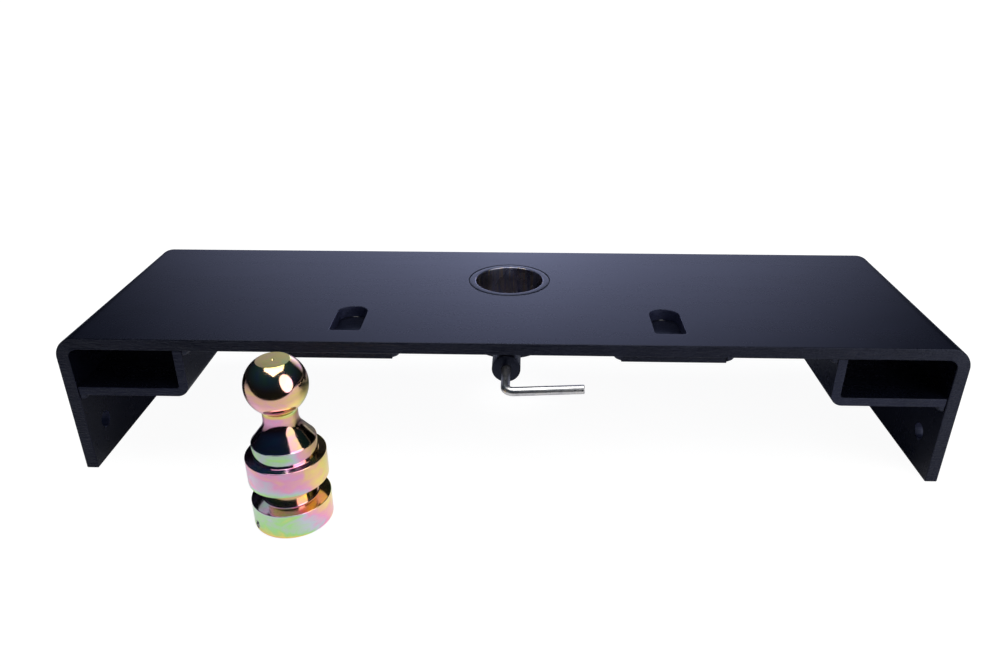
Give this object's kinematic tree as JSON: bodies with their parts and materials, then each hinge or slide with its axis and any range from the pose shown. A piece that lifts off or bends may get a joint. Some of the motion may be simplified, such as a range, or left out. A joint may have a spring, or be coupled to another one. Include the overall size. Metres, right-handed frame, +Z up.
{
  "type": "gooseneck hitch",
  "caption": "Under-bed gooseneck towing hitch: a bent steel plate with a ball socket, a spring lock pin with a pull handle, chain slots, side pockets, and a removable ball standing beside it.",
  "frame": {"origin": "middle of the kit's footprint, on the surface that the plate's legs and the ball stand on", "axes": "+X along the plate, across the truck; -Y towards the pull handle; +Z up, towards the truck's bed"},
  "size_m": [0.9046, 0.3612, 0.1731],
  "materials": {
    "black_coat": "semi-gloss black powder coat over steel, with fine orange peel",
    "coated_weld": "rippled weld bead under black powder coat",
    "socket_steel": "black outside, turned and dark inside the bore",
    "bright_zinc": "bright zinc plating",
    "spring_steel": "drawn spring wire",
    "yellow_zinc": "polished steel with yellow zinc plating, which shimmers from gold to pink and green"
  },
  "bodies": {
    "hitch_frame": {"center_plate": "black_coat", "left_pocket_angle": "black_coat", "right_pocket_angle": "black_coat", "left_pocket_top_weld": "coated_weld", "left_pocket_bottom_weld": "coated_weld", "right_pocket_top_weld": "coated_weld", "right_pocket_bottom_weld": "coated_weld", "left_chain_plate": "black_coat", "right_chain_plate": "black_coat", "left_chain_plate_inner_weld": "coated_weld", "left_chain_plate_outer_weld": "coated_weld", "right_chain_plate_inner_weld": "coated_weld", "right_chain_plate_outer_weld": "coated_weld", "socket_tube": "socket_steel", "socket_weld": "coated_weld", "pin_housing": "black_coat", "housing_weld": "coated_weld", "housing_cap": "black_coat", "lock_spring": "spring_steel"},
    "pin_carriage": {"lock_pin": "bright_zinc", "handle_retainer": "bright_zinc"},
    "handle": {"pull_handle": "bright_zinc"},
    "ball_post": {"hitch_ball": "yellow_zinc", "plunger_body": "bright_zinc", "plunger_spring": "spring_steel"},
    "detent": {"plunger_ball": "bright_zinc"}
  },
  "joints": [
    {"name": "pin_pull", "type": "slide", "parent": "hitch_frame", "child": "pin_carriage", "axis": [0, -1, 0], "range_m": [0, 0.02], "stiffness_N_per_m": 1500, "springref_m": -0.02, "deforming": ["lock_spring"]},
    {"name": "handle_turn", "type": "hinge", "parent": "pin_carriage", "child": "handle", "pos_m": [0, -0.1, 0.128], "axis": [0, -1, 0], "continuous": true},
    {"name": "ball_lift", "type": "slide", "parent": "hitch_frame", "child": "ball_post", "axis": [0, 0, 1], "range_m": [0, 0.165]},
    {"name": "detent_press", "type": "slide", "parent": "ball_post", "child": "detent", "axis": [0.749, 0.6626, 0], "range_m": [0, 0.0009], "stiffness_N_per_m": 800, "springref_m": -0.0008}
  ]
}
